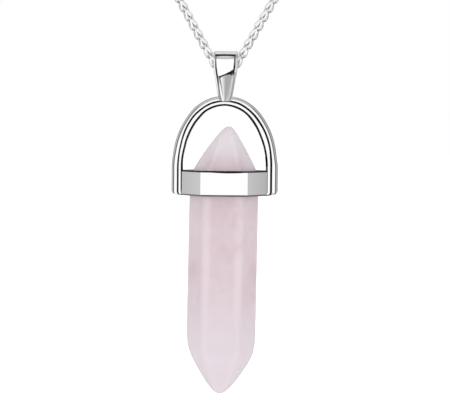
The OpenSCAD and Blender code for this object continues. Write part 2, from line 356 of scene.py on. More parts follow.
def makePolishGroup(s):
    number = "NodeSocketFloat"
    group, given, result = openGroup(
        "handPolish",
        [("Scale", number, 1.0), ("Roughness", number, 0.07),
         ("Spread", number, 0.04), ("Wave", number, 0.05)],
        [("Roughness", number), ("Normal", "NodeSocketVector")])
    where = addNode(group, "ShaderNodeTexCoord").outputs["Object"]
    haze = addNoise(group, where, calc(group, "MULTIPLY", given["Scale"], s["hazeScale"]), s["hazeDetail"])
    rough = addNode(group, "ShaderNodeMath", {0: haze, 1: given["Spread"], 2: given["Roughness"]},
                    operation="MULTIPLY_ADD").outputs[0]
    group.links.new(rough, result.inputs["Roughness"])
    waves = addNoise(group, where, calc(group, "MULTIPLY", given["Scale"], s["waveScale"]), 1.0)
    bump = addNode(group, "ShaderNodeBump",
                   {"Strength": given["Wave"], "Distance": s["waveHeight"], "Height": waves})
    group.links.new(bump.outputs["Normal"], result.inputs["Normal"])
    return group


# painted shade: darkens a share of the face, or the part a mask gives, towards a dark colour, thinner in
# patches
def makePaintedShadeGroup(s):
    number, color = "NodeSocketFloat", "NodeSocketColor"
    group, given, result = openGroup(
        "paintedShadeMix",
        [("Bright", color, (0.95, 0.95, 0.95, 1)), ("Dark", color, (0.05, 0.05, 0.05, 1)),
         ("ShadeMask", number, 0.0), ("Amount", number, 0.8)],
        [("Color", color)])
    where = addNode(group, "ShaderNodeTexCoord").outputs["Object"]
    uneven = fade(group, addNoise(group, where, s["patchScale"], 2.0), *s["patchSpan"], *s["patchShares"])
    mask = calc(group, "MULTIPLY", calc(group, "MULTIPLY", given["ShadeMask"], given["Amount"]), uneven)
    group.links.new(mixColor(group, mask, given["Bright"], given["Dark"]), result.inputs["Color"])
    return group


polishGroup = makePolishGroup(surface)
paintedShadeGroup = makePaintedShadeGroup(surface)


def addPolish(tree, shader, values):
    polish = addNode(tree, "ShaderNodeGroup", values, node_tree=polishGroup).outputs
    tree.links.new(polish["Roughness"], shader.inputs["Roughness"])
    tree.links.new(polish["Normal"], shader.inputs["Normal"])


silver = {
    "bright": (0.955, 0.955, 0.96),
    "paintedShade": (0.012, 0.012, 0.014),
    "holderRoughness": 0.05,
    "holderWave": 0.03,
    "darkLineRoughness": 0.35,
    "innerLineShade": 0.8,
    "dimEdgeShade": 0.5,
    "chainRoughness": 0.19,
    "chainShade": 0.3,
    "chainMetal": 0.75,
    "claspRoughness": 0.10,
    "claspWave": 0.02,
}


def makeSilver(name, roughness, wave, paintedShade=0.0, shadeMask=1.0, metal=1.0):
    # painted shade: the fourth argument is how black it gets, and the fifth a share of the face or the name
    # of the mask that holds it
    material, tree, shader = newMaterial(name)
    shader.inputs["Metallic"].default_value = metal
    shader.inputs["Base Color"].default_value = (*silver["bright"], 1)
    addPolish(tree, shader, {"Roughness": roughness, "Wave": wave})
    if paintedShade:
        values = {
            "Bright": (*silver["bright"], 1),
            "Dark": (*silver["paintedShade"], 1),
            "Amount": paintedShade,
            "ShadeMask": readMask(tree, shadeMask) if isinstance(shadeMask, str) else shadeMask,
        }
        shaded = addNode(tree, "ShaderNodeGroup", values, node_tree=paintedShadeGroup)
        tree.links.new(shaded.outputs["Color"], shader.inputs["Base Color"])
    return material


def makeHolderSilver(name, roughness, paintedShade=0.0, shadeMask=1.0):
    return makeSilver(name, silver[roughness], silver["holderWave"], paintedShade, shadeMask)


polishedSilver = makeHolderSilver("polishedSilver", "holderRoughness")
# painted shade and painted reflection: dark lines on the holder's grooves, bevels and steps, and a grey lower
# bevel
paintedShadeLine = makeHolderSilver("paintedShadeLine", "darkLineRoughness", 1.0)
innerLine = makeHolderSilver("innerLine", "darkLineRoughness", silver["innerLineShade"])
dimEdge = makeHolderSilver("dimEdge", "darkLineRoughness", silver["dimEdgeShade"])
bailLine = makeHolderSilver("bailLine", "darkLineRoughness", 1.0, "shadeMask")
bailBorder = makeHolderSilver("bailBorder", "holderRoughness", 1.0, "borderDim")
chainSilver = makeSilver("chainSilver", silver["chainRoughness"], 0.0, silver["chainShade"], "shadeMask",
                         silver["chainMetal"])
claspSilver = makeSilver("claspSilver", silver["claspRoughness"], silver["claspWave"])

quartz = {
    "face": (0.655, 0.55, 0.587),
    "side": (0.70, 0.595, 0.64),
    "edge": (0.75, 0.66, 0.71),
    "tip": (0.765, 0.715, 0.76),
    "lowEnd": (0.705, 0.635, 0.68),
    "deep": (0.62, 0.47, 0.525),
    # scale, detail and warp of each noise, and the span in which it fades in
    "clouds": (300.0, 4.0, 0.6, 0.35, 0.68),
    "veins": (700.0, 3.0, 0.3, 0.52, 0.72),
    "patches": (500.0, 3.0, 0.4, 0.35, 0.65),
    "cloud": 0.30,  # how strong clouds and veins are
    # darker spots in the stone: x, y and z in mm from the hinge, and radius
    "spots": [
        (0.2, -3.6, -17.0, 3.0), (0.4, -3.6, -20.0, 3.0), (-3.9, -1.0, -23.5, 2.4), (3.8, -1.0, -23.8, 2.0),
        (1.5, -2.5, -11.4, 1.6), (-1.4, -2.5, -11.3, 1.8), (3.2, -0.6, -26.5, 1.1),
    ],
    "spotCore": 0.2,
    "spotDepths": (0.25, 0.75),
    "polish": {"Scale": 0.8, "Roughness": 0.12, "Spread": 0.08, "Wave": 0.06},
    "glow": 0.35,  # light that passes through the stone
    "glowReach": 0.0015,
    "glowColors": (1.0, 0.7, 0.75),
    "refraction": 1.54,
}


def makeQuartz(q):
    material, tree, shader = newMaterial("roseQuartz")
    where = addNode(tree, "ShaderNodeTexCoord").outputs["Object"]

    def cloudy(kind, lowTo, highTo):
        scale, detail, warp, low, high = q[kind]
        return fade(tree, addNoise(tree, where, scale, detail, warp), low, high, lowTo, highTo)

    color = mixColor(tree, readMask(tree, "flatFace"), q["side"], q["face"])
    color = mixColor(tree, cloudy("clouds", 0.0, q["cloud"]), color, q["edge"])
    color = mixColor(tree, cloudy("veins", 0.0, q["cloud"]), color, q["deep"])
    # painted highlights along the long edges, and painted light at the tips and the lower end
    for mask, paint in (("longEdge", "edge"), ("tipGlow", "tip"), ("lowEnd", "lowEnd")):
        color = mixColor(tree, readMask(tree, mask), color, q[paint])
    spots = 0.0
    for x, y, z, r in q["spots"]:
        centre = (Vector((x, y, z)) + hinge) * mm
        far = addNode(tree, "ShaderNodeVectorMath", {0: where, 1: centre}, operation="DISTANCE")
        spot = fade(tree, far.outputs["Value"], q["spotCore"] * r * mm, r * mm, 1.0, 0.0)
        spots = calc(tree, "MAXIMUM", spot, spots)
    spots = calc(tree, "MULTIPLY", spots, cloudy("patches", *q["spotDepths"]))
    tree.links.new(mixColor(tree, spots, color, q["deep"]), shader.inputs["Base Color"])
    addPolish(tree, shader, q["polish"])
    shader.inputs["Subsurface Weight"].default_value = q["glow"]
    shader.inputs["Subsurface Radius"].default_value = q["glowColors"]
    shader.inputs["Subsurface Scale"].default_value = q["glowReach"]
    shader.inputs["IOR"].default_value = q["refraction"]
    return material


roseQuartz = makeQuartz(quartz)
print("finishes are mixed")


# Chain: half of its route in mm, as in the solid model, and a woven wheat chain along it

chain = {
    "step": 0.1,  # mm between the places in the route's table
    "pitch": 1.25,
    "firstLink": 0.16,
    "secondLink": 0.18,  # how far the crossing link of each pair lies behind the first
    "wireSides": 6,
    "inBail": 0.87,  # how much narrower it is inside the bail, where it bends
    "bailEnd": (2.4, 3.6),  # mm along it, from its middle to its full width
    # painted shade deep in the weave, and outside under each arm's turned lower end, by mm from the chain's
    # middle
    "deepShade": (0.14, 0.26),
    "outerShade": (0.28, 0.36),
    "turnedEnd": (-0.06, 0.06),  # mm along the link
    "loopRadius": 0.9,
    "loopWire": 0.5,
    "loopSteps": 40,
    "loopSides": 12,
    "capLength": 1.3,
    "capSides": 16,
    "capRadii": [(0.0, 0.30), (0.03, 0.40), (0.10, 0.45), (0.5, 0.45), (1.0, 0.42), (1.2, 0.33), (1.3, 0.2)],
}

halfRoute = [
    (0, -119, -114), (0.65, -119, -113.85), (1.15, -119, -113.45), (1.8, -119, -112.35),
    (3, -118.7, -110.2), (6, -117.8, -104.8), (12, -115.5, -94), (20, -111, -79.5),
    (28, -104.5, -65), (35.5, -96, -51.5), (42, -86, -40), (47.5, -74, -30),
    (52, -61, -21.5), (54.9, -48, -14.5), (55.8, -36, -9), (52.4, -24, -5.5),
    (45, -14.5, -3), (35.5, -7.5, -1.5), (24, -2.5, -0.5), (14, -0.5, 0),
]

# One link as (along, out, across, wire) in mm: it crosses the chain's middle at its lower end, and each of
# its two arms is a pair of wires that narrows upwards and opens to an eye for the next link
linkArm = [
    (0.00, 0.15, 0.065, 0.17), (0.00, 0.33, 0.080, 0.23), (0.10, 0.445, 0.100, 0.29),
    (0.32, 0.430, 0.105, 0.31), (0.62, 0.315, 0.100, 0.31), (0.92, 0.190, 0.090, 0.26),
    (1.20, 0.130, 0.210, 0.17), (1.43, 0.120, 0.210, 0.17), (1.54, 0.115, 0.065, 0.17),
]

clasp = {"radius": 2.4, "wire": 1.1, "eye": 0.85, "eyeWire": 0.6, "ring": 1.3, "ringWire": 0.6,
         "gap": 0.1, "eyeNeck": 0.15}


def hungReach(a, wireA, b, wireB):
    return a + b - wireA / 2 - wireB / 2 - clasp["gap"]


loopToRing = hungReach(chain["loopRadius"], chain["loopWire"], clasp["ring"], clasp["ringWire"])
ringToClasp = hungReach(clasp["ring"], clasp["ringWire"], clasp["radius"], clasp["wire"])
ringToEye = hungReach(clasp["ring"], clasp["ringWire"], clasp["eye"], clasp["eyeWire"])
claspToEye = clasp["radius"] + clasp["eye"] + clasp["eyeNeck"]
chainEnd = (ringToClasp + claspToEye + ringToEye) / 2 + loopToRing + chain["loopRadius"]


def smoothRoute():
    # close points on a curve through the route's points
    spacing, fewest = 0.2, 12
    rows = [Vector(p) for p in halfRoute] + [Vector((chainEnd, 0, 0))]
    heads = [Vector((1, 0, 0))]
    for before, p, after in zip(rows, rows[1:], rows[2:]):
        a, b = p - before, after - p
        heads.append((a.normalized() * b.length + b.normalized() * a.length).normalized())
    heads.append(Vector((-1, 0, 0)))
    dense = []
    for p, q, headP, headQ in zip(rows, rows[1:], heads, heads[1:]):
        d = (q - p).length
        count = max(fewest, int(d / spacing))
        for k in range(count):
            t = k / count
            dense.append((2 * t**3 - 3 * t**2 + 1) * p + (t**3 - 2 * t**2 + t) * d * headP
                         + (3 * t**2 - 2 * t**3) * q + (t**3 - t**2) * d * headQ)
    return dense + [rows[-1]]


def routeTable():
    # evenly spaced places on the route: point, way along, way out to the side and way across
    dense = smoothRoute()
    even, reach, passed = [dense[0]], chain["step"], 0.0
    for a, b in zip(dense, dense[1:]):
        d = (b - a).length
        while passed + d >= reach:
            even.append(a.lerp(b, (reach - passed) / d))
            reach += chain["step"]
        passed += d
    table, side = [], Vector((0, -1, 0))
    for i, p in enumerate(even):
        along = (even[min(i + 1, len(even) - 1)] - even[max(i - 1, 0)]).normalized()
        side = (side - along * side.dot(along)).normalized()
        table.append((p, along, side, along.cross(side)))
    return table


def closedTube(centres, radii, sides):
    # rings of points round a closed line of centres, with the line's twist spread along it
    count = len(centres)
    tangents = [(centres[(i + 1) % count] - centres[i - 1]).normalized() for i in range(count)]
    side = tangents[0].orthogonal().normalized()
    first, frames = side.copy(), []
    for t in tangents:
        side = (side - t * side.dot(t)).normalized()
        frames.append((side.copy(), t.cross(side)))
    t = tangents[0]
    back = (side - t * side.dot(t)).normalized()
    twist = math.atan2(t.dot(back.cross(first)), back.dot(first))
    rings = []
    for i, (u, v) in enumerate(frames):
        turns = [twist * i / count + math.tau * j / sides for j in range(sides)]
        rings.append([centres[i] + radii[i] * (math.cos(turn) * u + math.sin(turn) * v) for turn in turns])
    return rings


def linkTemplate():
    arm = linkArm + [(a, u, -v, w) for a, u, v, w in reversed(linkArm)]
    link = arm + [(a, -u, v, w) for a, u, v, w in reversed(arm)]
    rings = closedTube([Vector(p[:3]) for p in link], [p[3] / 2 for p in link], chain["wireSides"])
    points, faces, _ = skin(rings, closed=True)
    # painted shade deep in the weave and under each arm's turned lower end
    shadeMask = []
    for along, out, across in points:
        fromMiddle = math.hypot(out, across)
        deep = 1 - smoothStep(fromMiddle, *chain["deepShade"])
        under = (1 - smoothStep(along, *chain["turnedEnd"])) * smoothStep(fromMiddle, *chain["outerShade"])
        shadeMask.append(max(deep, under))
    return points, faces, shadeMask


def makeChainHalf(name, flip):
    table = routeTable()
    length = (len(table) - 1) * chain["step"]
    points, faces, shadeMask = [], [], []

    def addPart(newPoints, newFaces, newShade):
        start = len(points)
        points.extend((-x, y, z) if flip else (x, y, z) for x, y, z in newPoints)
        faces.extend(tuple(start + i for i in (face[::-1] if flip else face)) for face in newFaces)
        shadeMask.extend(newShade)

    def place(s, out, across):
        # the point at a length s along the chain
        i = min(len(table) - 2, max(0, int(s / chain["step"])))
        t = s / chain["step"] - i
        p, q = table[i], table[i + 1]
        width = chain["inBail"] + (1 - chain["inBail"]) * smoothStep(s, *chain["bailEnd"])
        return p[0].lerp(q[0], t) + width * (out * p[2].lerp(q[2], t) + across * p[3].lerp(q[3], t))

    diagonal = math.sqrt(0.5)
    linkPoints, linkFaces, linkShade = linkTemplate()
    stations = int((length - chain["capLength"] - chain["firstLink"]) / chain["pitch"])
    for n in range(stations):
        first = chain["firstLink"] + n * chain["pitch"]
        crossed = [(a, -v, u) for a, u, v in linkPoints]
        for start, link in ((first, linkPoints), (first + chain["secondLink"], crossed)):
            addPart([place(start + a, (u - v) * diagonal, (u + v) * diagonal) for a, u, v in link],
                    linkFaces, linkShade)
    # cap that closes the weave
    turns = [math.tau * j / chain["capSides"] for j in range(chain["capSides"])]
    rings = []
    for s, r in chain["capRadii"]:
        s += length - chain["capLength"]
        rings.append([place(s, r * math.cos(turn), r * math.sin(turn)) for turn in turns])
    capPoints, capFaces, _ = skin(rings)
    addPart(capPoints, capFaces, [0.0] * len(capPoints))
    # loop soldered to the cap
    count = chain["loopSteps"]
    turns = [math.tau * i / count for i in range(count)]
    centre = Vector((chainEnd - chain["loopRadius"], 0, 0))
    circle = [centre + chain["loopRadius"] * Vector((math.cos(turn), 0, math.sin(turn))) for turn in turns]
    rings = closedTube(circle, [chain["loopWire"] / 2] * count, chain["loopSides"])
    loopPoints, loopFaces, _ = skin(rings, closed=True)
    addPart(loopPoints, loopFaces, [0.0] * len(loopPoints))
    buildPiece(name, points, faces, [chainSilver], "neck_chain", "chain", sharpAt=60,
               masks={"shadeMask": shadeMask})
    print(f"{name}: {stations} pairs of links, {sum(len(f) - 2 for f in faces)} triangles")


makeChainHalf("chain_right", False)
makeChainHalf("chain_left", True)


# Clasp and end rings keep their solids

for name in ("clasp", "end_ring_left", "end_ring_right"):
    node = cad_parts[name]
    node.data.materials.clear()
    node.data.materials.append(claspSilver)
print("clasp and rings are finished")


# Quartz point, with the same forms as the solid and a finer surface

stone = {
    "length": 31.6,
    "width": 8.1,
    "rise": 5.17,  # how far the upper tip stands above the collar
    "lean": 0.7,
    "midShift": -0.07,
    "upperSlope": 0.585,
    "upperBlunt": 1.6,
    "upperTipShift": 0.43,
    "lowerSlope": 0.51,
    "lowerBlunt": 3.6,
    "lowerTipShift": -0.06,
    "lowerSkew": 0.042,
    "softLength": 6,
    "endLength": 8,
    "firstStep": 0.04,
    "stepCloseness": 1.4,  # over 1, the rows stand closer together near the tips
    "endSteps": 34,
    "middleSteps": 16,
    # a high power makes sharp edges: along the sides, at the tips, and where the sides turn into the tips
    "edgePower": 19,
    "tipPower": 6,
    "shoulderPower": 12,
    "sideAngles": [-30, -28.2, -26.4, -24.4, -22, -18.5, -14, -7.5, 0, 7.5, 14, 18.5, 22, 24.4, 26.4, 28.2],
}

# where the stone's colours, painted highlights and painted light change, in mm up from the lower tip, down
# from the upper tip, or across a face
stonePaint = {
    "uHeight": 5.7,  # a flat face ends in a round U above the lower tip
    "uHalfWidth": 0.5,
    "uRadius": 0.95,
    "uSoft": (-0.2, 0.2),
    "stripe": 0.205,  # painted highlight: pale stripes along the long edges, stronger to the right
    "stripeRight": 0.175,
    "stripeStart": (0.05, 0.25),
    "stripeUnderU": (0.7, 1.2),
    "stripeTop": (9, 7),
    # painted light: the tips are paler
    "tip": 0.92,
    "tipTop": (5.5, 1.5),
    "upperSides": 0.62,  # painted light: the upper tip's side faces are paler
    "upperSidesTop": (5.6, 4.6),
    "upperSidesTurn": (0.5, 0.7),  # cosine of the angle to the side, not mm
    # painted light: the stone is paler near its lower tip
    "lowEnd": 0.95,
    "lowEndHeight": (6, 13),
}

cornerFactor = 2 ** (-1 / stone["edgePower"]) / math.cos(math.radians(30))
stoneApothem = stone["width"] / 2 / cornerFactor
hexAngles = [60 * k + 30 + a for k in range(6) for a in stone["sideAngles"]]

# The holder's three parts, whose sizes also say where the stone hangs

collar = {
    "height": 2.98,
    "wall": 1.0,
    "bevel": 0.19,
    "gap": 0.12,
    "pillow": 0.05,  # how far its side faces swell
    "swellRow": 0.4,
    "sideAngles": (-30, -27, -20, -10, 0, 10, 20, 27),
    "sag": 0.085,  # how much wider the painted dark line along the upper edge is at the front's middle
    "sagMiddle": 0.5,
    "sagHalf": 1.9,
}

arch = {
    "height": 8.77,
    "radius": 5.25,
    "turn": 53,
    "proud": 0.79,
    "width": 1.38,
    "depth": 2.0,
    "rim": 0.74,
    "groove": 0.24,
    "grooveDepth": 0.1,
    "rimBevel": 0.25,
    "flankSunk": 0.07,
    "innerFlat": 0.7,
    "legShort": 0.07,
    "legCorner": 0.6,
    "lineTurn": 0.4,
    "underBevel": 0.08,
    "legRises": (0, 0.08, 0.12, 0.17, 0.25, 0.33, 0.42, 0.52, 0.6),
    "flankSteps": 14,
    "sideSteps": 26,
    "topSteps": 30,
    # how much finer the painted dark lines get on each side, and the degrees from the leg where that ends
    "fineStart": (4, 13),
    "fineRight": 0.17,
    "fineRightEnd": (24, 36),
    "fineLeft": 0.1,
    "fineLeftEnd": (40, 50),
    # by degrees from the leg to the top: shares of the flank's width on the right and on the left,
    # shares of the rim's, and how far in mm each side is set in
    "shares": [
        (0, 1.03, 1.03, 1.06, 0.91, 0.03, 0),
        (6, 0.87, 1.03, 1.1, 0.85, 0.11, 0.03),
        (10, 0.85, 0.975, 1.07, 0.87, 0.11, 0.06),
        (15, 0.815, 0.99, 1.13, 0.91, 0.085, 0.03),
        (19, 0.82, 0.95, 1.17, 0.91, 0.055, 0.015),
        (24, 0.83, 0.87, 1.2, 1.0, 0.025, 0),
        (29, 0.84, 0.785, 1.14, 1.05, 0.02, 0),
        (34, 0.84, 0.765, 1.125, 1.05, 0.025, 0),
        (40, 0.855, 0.785, 1.09, 1.075, 0.035, 0),
        (46, 0.87, 0.825, 1.03, 1.005, 0.04, 0),
        (54, 0.87, 0.85, 0.98, 0.905, 0.035, 0),
        (70, 0.78, 0.79, 1.04, 0.95, 0.015, 0),
        (90, 0.835, 0.835, 0.89, 0.89, 0, 0),
    ],
}

bail = {
    "radius": 2.35,
    "wall": 0.4,
    "width": 2.88,
    "footWidth": 1.3,
    "drop": 2.9,
    "slope": 21,
    "legWall": 0.6,
    "innerBevel": (0.3, 0.08),
    "outerBevel": (0.04, 0.035, 0.08),
    "topArc": 0.04,  # how far the panel's top line bends down at its ends
    "topRound": 0.14,
    "panelDepth": 0.1,
    "panelTop": 0.44,
    "panelLeft": (0.17, 0.10),  # width of its left border above and below
    "panelLeftFall": (0.9, 3.2),
    "panelRight": 0.24,
    "panelLine": 0.21,
    "pillow": 0.10,
    "borderBevel": (0.03, 0.12),
    "borderTilt": 0.075,
    "legSteps": 18,
    "panelSteps": 24,
    "loopSteps": 36,
    "backSteps": 8,
    "stepLap": 0.035,
    # sections over which the panel's swelling, its border's tilt and its top line's bend change
    "pillowFade": (0, 6),
    "tiltFade": (33, 39),
    "topArcSpan": 4,
    "topShade": 0.55,  # how dark the painted shade on the panel is next to its top line
    # how black the painted shade lines beside the panel are, and how dim its right border is with painted
    # reflection, by section from the front foot up: the lines are blackest where the tight bend starts
    "leftLine": [(0, 0.5), (10, 0.55), (15, 0.78), (19, 0.93), (25, 0.97), (31, 0.82), (36, 0.6), (99, 0.6)],
    "rightLine": [(0, 0.35), (8, 0.3), (17, 0.25), (20, 0.45), (22, 1), (29, 1), (32, 0.85), (37, 0.7),
                  (99, 0.7)],
    "borderDim": [(0, 0.25), (18, 0.28), (42, 0.34), (46, 0.1), (99, 0.1)],
}

archTop = -bail["drop"]
collarTop = archTop - arch["height"]
collarMid = collarTop - collar["height"] / 2
collarBottom = collarTop - collar["height"]
collarApothem = stoneApothem + collar["gap"] + collar["wall"]
flankWidth = arch["width"] - arch["rim"]
footEnd = archTop - flankWidth * arch["shares"][-1][1] - arch["groove"] / 2


def softHexagon(angle, apothem, power):
    total = sum(max(0, math.cos(math.radians(angle - 60 * k - 30))) ** power for k in range(6))
    return apothem * total ** (-1 / power)


def endHalfWidth(t, slope, blunt):
    # half of the stone's width at a distance t from a tip
    cone = slope * math.sqrt((t + blunt) ** 2 - blunt ** 2)
    power = stone["shoulderPower"]
    return ((stone["width"] / 2) ** -power + cone ** -power) ** (-1 / power)


def stoneRows():
    # distance from the nearer tip, height, and slope, bluntness, tip shift and skew of that end
    length, end = stone["length"], stone["endLength"]
    first, closeness, count = stone["firstStep"], stone["stepCloseness"], stone["endSteps"]
    steps = [first + (end - first) * (i / count) ** closeness for i in range(count + 1)]
    count = stone["middleSteps"]
    middle = [end + (length - 2 * end) * i / count for i in range(1, count)]
    lower = (stone["lowerSlope"], stone["lowerBlunt"], stone["lowerTipShift"], stone["lowerSkew"])
    upper = (stone["upperSlope"], stone["upperBlunt"], stone["upperTipShift"], 0)
    rows = [(t, t, *lower) for t in steps]
    rows += [(end, z, 1, stone["lowerBlunt"], 0, 0) for z in middle]
    rows += [(t, stone["length"] - t, *upper) for t in reversed(steps)]
    return rows


def paintStone(angle, z):
    # how much of each colour, painted highlight and painted light shows at an angle round the stone and a
    # height above its lower tip
    p, down = stonePaint, stone["length"]
    toRight = math.cos(math.radians(angle))
    fromMiddle = (angle - 30) % 60
    fromMiddle = min(fromMiddle, 60 - fromMiddle)
    across = stoneApothem * math.tan(math.radians(fromMiddle))
    belowU = max(0, p["uHeight"] - z)
    outside = math.hypot(max(0, across - p["uHalfWidth"]), belowU) - p["uRadius"]
    stripe = (p["stripe"] + p["stripeRight"] * toRight) * smoothStep(outside, *p["stripeStart"])
    stripe *= 1 - smoothStep(z, *(down - t for t in p["stripeTop"]))
    if belowU:
        stripe *= 1 - smoothStep(outside, *p["stripeUnderU"])
    upperSide = p["upperSides"] * smoothStep(abs(toRight), *p["upperSidesTurn"])
    upperSide *= smoothStep(z, *(down - t for t in p["upperSidesTop"]))
    return {
        "flatFace": 1 - smoothStep(outside, *p["uSoft"]),
        "longEdge": stripe,
        "tipGlow": max(p["tip"] * smoothStep(z, *(down - t for t in p["tipTop"])), upperSide),
        "lowEnd": p["lowEnd"] * (1 - smoothStep(z, *p["lowEndHeight"])),
    }


def makeCrystal():
    lean = Matrix.Rotation(math.radians(stone["lean"]), 3, "Y")
    foot = Vector((0, 0, collarTop + stone["rise"] - collarMid - stone["length"]))
    spot = hinge + Vector((stone["midShift"], 0, collarMid))
    rings = []
    masks = {"flatFace": [], "longEdge": [], "tipGlow": [], "lowEnd": []}
    for t, z, slope, blunt, shift, skew in stoneRows():
        soft = min(1, t / stone["softLength"])
        power = stone["tipPower"] + (stone["edgePower"] - stone["tipPower"]) * soft
        ring = []
        for angle in hexAngles:
            cosine, sine = math.cos(math.radians(angle)), math.sin(math.radians(angle))
            half = endHalfWidth(t, slope * (1 + skew * cosine), blunt)
            r = softHexagon(angle, half / cornerFactor, power)
            x = r * cosine + shift * max(0, 1 - t / stone["endLength"]) ** 2
            ring.append(lean @ (Vector((x, r * sine, z)) + foot) + spot)
            for mask, value in paintStone(angle, z).items():
                masks[mask].append(value)
        rings.append(ring)
    points, faces, _ = skin(rings)
    buildPiece("crystal_point", points, faces, [roseQuartz], "pendant", "crystal", sharpAt=80,
               masks=masks)
    print(f"crystal: {sum(len(f) - 2 for f in faces)} triangles")


makeCrystal()


# Holder: collar, arch and bail, three meshes that stand for one casting

def makeCollar():
    side, edge, high = collarApothem, collarApothem - collar["bevel"], collar["height"] / 2
    flat = high - collar["bevel"]
    inner = stoneApothem + collar["gap"]
    swell = collar["swellRow"] * flat
    # distance of the flat faces from the middle and height, where None stands for the opening round the stone
    rows = [(None, -high), (edge, -high), (side, -flat), (side, -swell), (side, swell), (side, flat),
            (edge, high), (None, high)]
    rings = []
    for distance, z in rows:
        ring = []
        for angle in [60 * k + 30 + t for k in range(6) for t in collar["sideAngles"]]:
            fromMiddle = math.radians(angle % 60 - 30)
            r = softHexagon(angle, inner, stone["edgePower"])
            if distance is not None:
                onSideFace = distance == side and not 60 < angle % 180 < 120
                bulge = 1 - (math.tan(fromMiddle) / math.tan(math.radians(30))) ** 2 if onSideFace else 0
                r = (distance + collar["pillow"] * bulge) / math.cos(fromMiddle)
            turn = math.radians(angle)
            spot = Vector((r * math.cos(turn), r * math.sin(turn), z + collarMid))
            if z == flat and spot.y < 0:
                fromSag = (spot.x - collar["sagMiddle"]) / collar["sagHalf"]
                spot.z -= collar["sag"] * max(0, 1 - fromSag ** 2)
            ring.append(spot + hinge)
        rings.append(ring)
    points, faces, places = skin(rings, closed=True)
    # painted shade and reflection: a black line on the upper bevel and a grey one on the lower bevel
    lowerEdge, upperEdge = 1, 5
    kinds = [2 if i == lowerEdge else 1 if i == upperEdge else 0 for i, j in places]
    buildPiece("holder_collar", points, faces, [polishedSilver, paintedShadeLine, dimEdge], "pendant", "holder",
               kinds, sharpAt=20)


def strapSection():
    # the strap's outline, from its outer side round the front to its inner side and back: how far in, how far
    # to the back, and whether the stretch that starts there carries the painted dark line of shade
    front = arch["depth"] / 2
    flankFront = front - arch["flankSunk"]
    r = (flankFront ** 2 + flankWidth ** 2) / (2 * flankWidth)
    steps = arch["flankSteps"]
    turns = [math.asin(flankFront / r) * k / steps for k in range(steps)]
    half = [(r - r * math.cos(turn), r * math.sin(turn), 0) for turn in turns]
    half += [
        (flankWidth, flankFront, 1),
        (flankWidth + arch["groove"] / 2, flankFront - arch["grooveDepth"], 1),
        (flankWidth + arch["groove"], front, 0),
        (arch["width"] - arch["rimBevel"], front, 1),
        (arch["width"], front - arch["rimBevel"], 0),
        (arch["width"], arch["innerFlat"] / 2, 0),
    ]
    backLines = [half[-1][2]] + [line for _, _, line in reversed(half[1:-1])]
    back = [(x, y, line) for (x, y, _), line in zip(reversed(half[1:]), backLines)]
    return [(x, -y, line) for x, y, line in half] + back


def strapRows():
    # centre, radius and angle of each section from the leg to the top, and how far its outer corner is cut
    # and its line turns in
    turn = math.radians(arch["turn"])
    halfWidth = collarApothem / math.cos(math.radians(30)) + arch["proud"]
    sideR = (halfWidth - arch["radius"] * math.sin(turn)) / (1 - math.sin(turn))
    topCentre = (0, archTop - arch["radius"])
    sideCentre = (halfWidth - sideR, topCentre[1] - (sideR - arch["radius"]) * math.cos(turn))

    def rounded(size, rise):
        return size - math.sqrt(max(0, size ** 2 - max(0, size - rise) ** 2))

    rows = []
    for rise in arch["legRises"]:
        centre = (sideCentre[0], collarBottom + arch["legShort"] + rise)
        rows.append((centre, sideR, 0, rounded(arch["legCorner"], rise), rounded(arch["lineTurn"], rise)))
    sideTurn, sideSteps, topSteps = math.pi / 2 - turn, arch["sideSteps"], arch["topSteps"]
    rows += [(sideCentre, sideR, sideTurn * i / sideSteps, 0, 0) for i in range(sideSteps)]
    rows += [(topCentre, arch["radius"], sideTurn + turn * i / topSteps, 0, 0) for i in range(topSteps)]
    rows.append((topCentre, arch["radius"], math.pi / 2, 0, 0))
    return rows


def strapRing(section, row, isFoot, way):
    # one section of the strap, on the right for way 1 and on the left for way -1
    centre, r, angle, cut, turnIn = row
    degrees = math.degrees(angle)
    flankRight, flankLeft, rimRight, rimLeft, insetRight, insetLeft = tableAt(arch["shares"], degrees)
    if way == 1:
        flankShare, rimShare, inset = flankRight, rimRight, insetRight
        finer = arch["fineRight"] * (1 - smoothStep(degrees, *arch["fineRightEnd"]))
    else:
        flankShare, rimShare, inset = flankLeft, rimLeft, insetLeft
        finer = arch["fineLeft"] * (1 - smoothStep(degrees, *arch["fineLeftEnd"]))
    lineWidth = 1 - finer * smoothStep(degrees, *arch["fineStart"])
    width, bevel, thinnest = arch["width"], arch["underBevel"], 0.05
    nearFaces = 0.3 * arch["depth"]
    ring = []
    for x, y, _ in section:
        if flankWidth < x <= flankWidth + arch["groove"]:
            x = flankWidth + (x - flankWidth) * lineWidth
        elif flankWidth < x < width:
            x = width - (width - x) * lineWidth
        if flankWidth < x < width:
            x = min(x + turnIn, width - thinnest)
        elif x <= flankWidth and abs(y) > nearFaces:
            x *= 1 + turnIn / flankWidth
        x = max(x, cut)
        if isFoot:
            x, y = max(x, cut + bevel), math.copysign(max(0, abs(y) - bevel), y)
        reach = r - inset - flankShare * min(x, flankWidth) - rimShare * max(0, x - flankWidth)
        spot = (way * (centre[0] + reach * math.cos(angle)), y, centre[1] + reach * math.sin(angle))
        ring.append(Vector(spot) + hinge)
    return ring


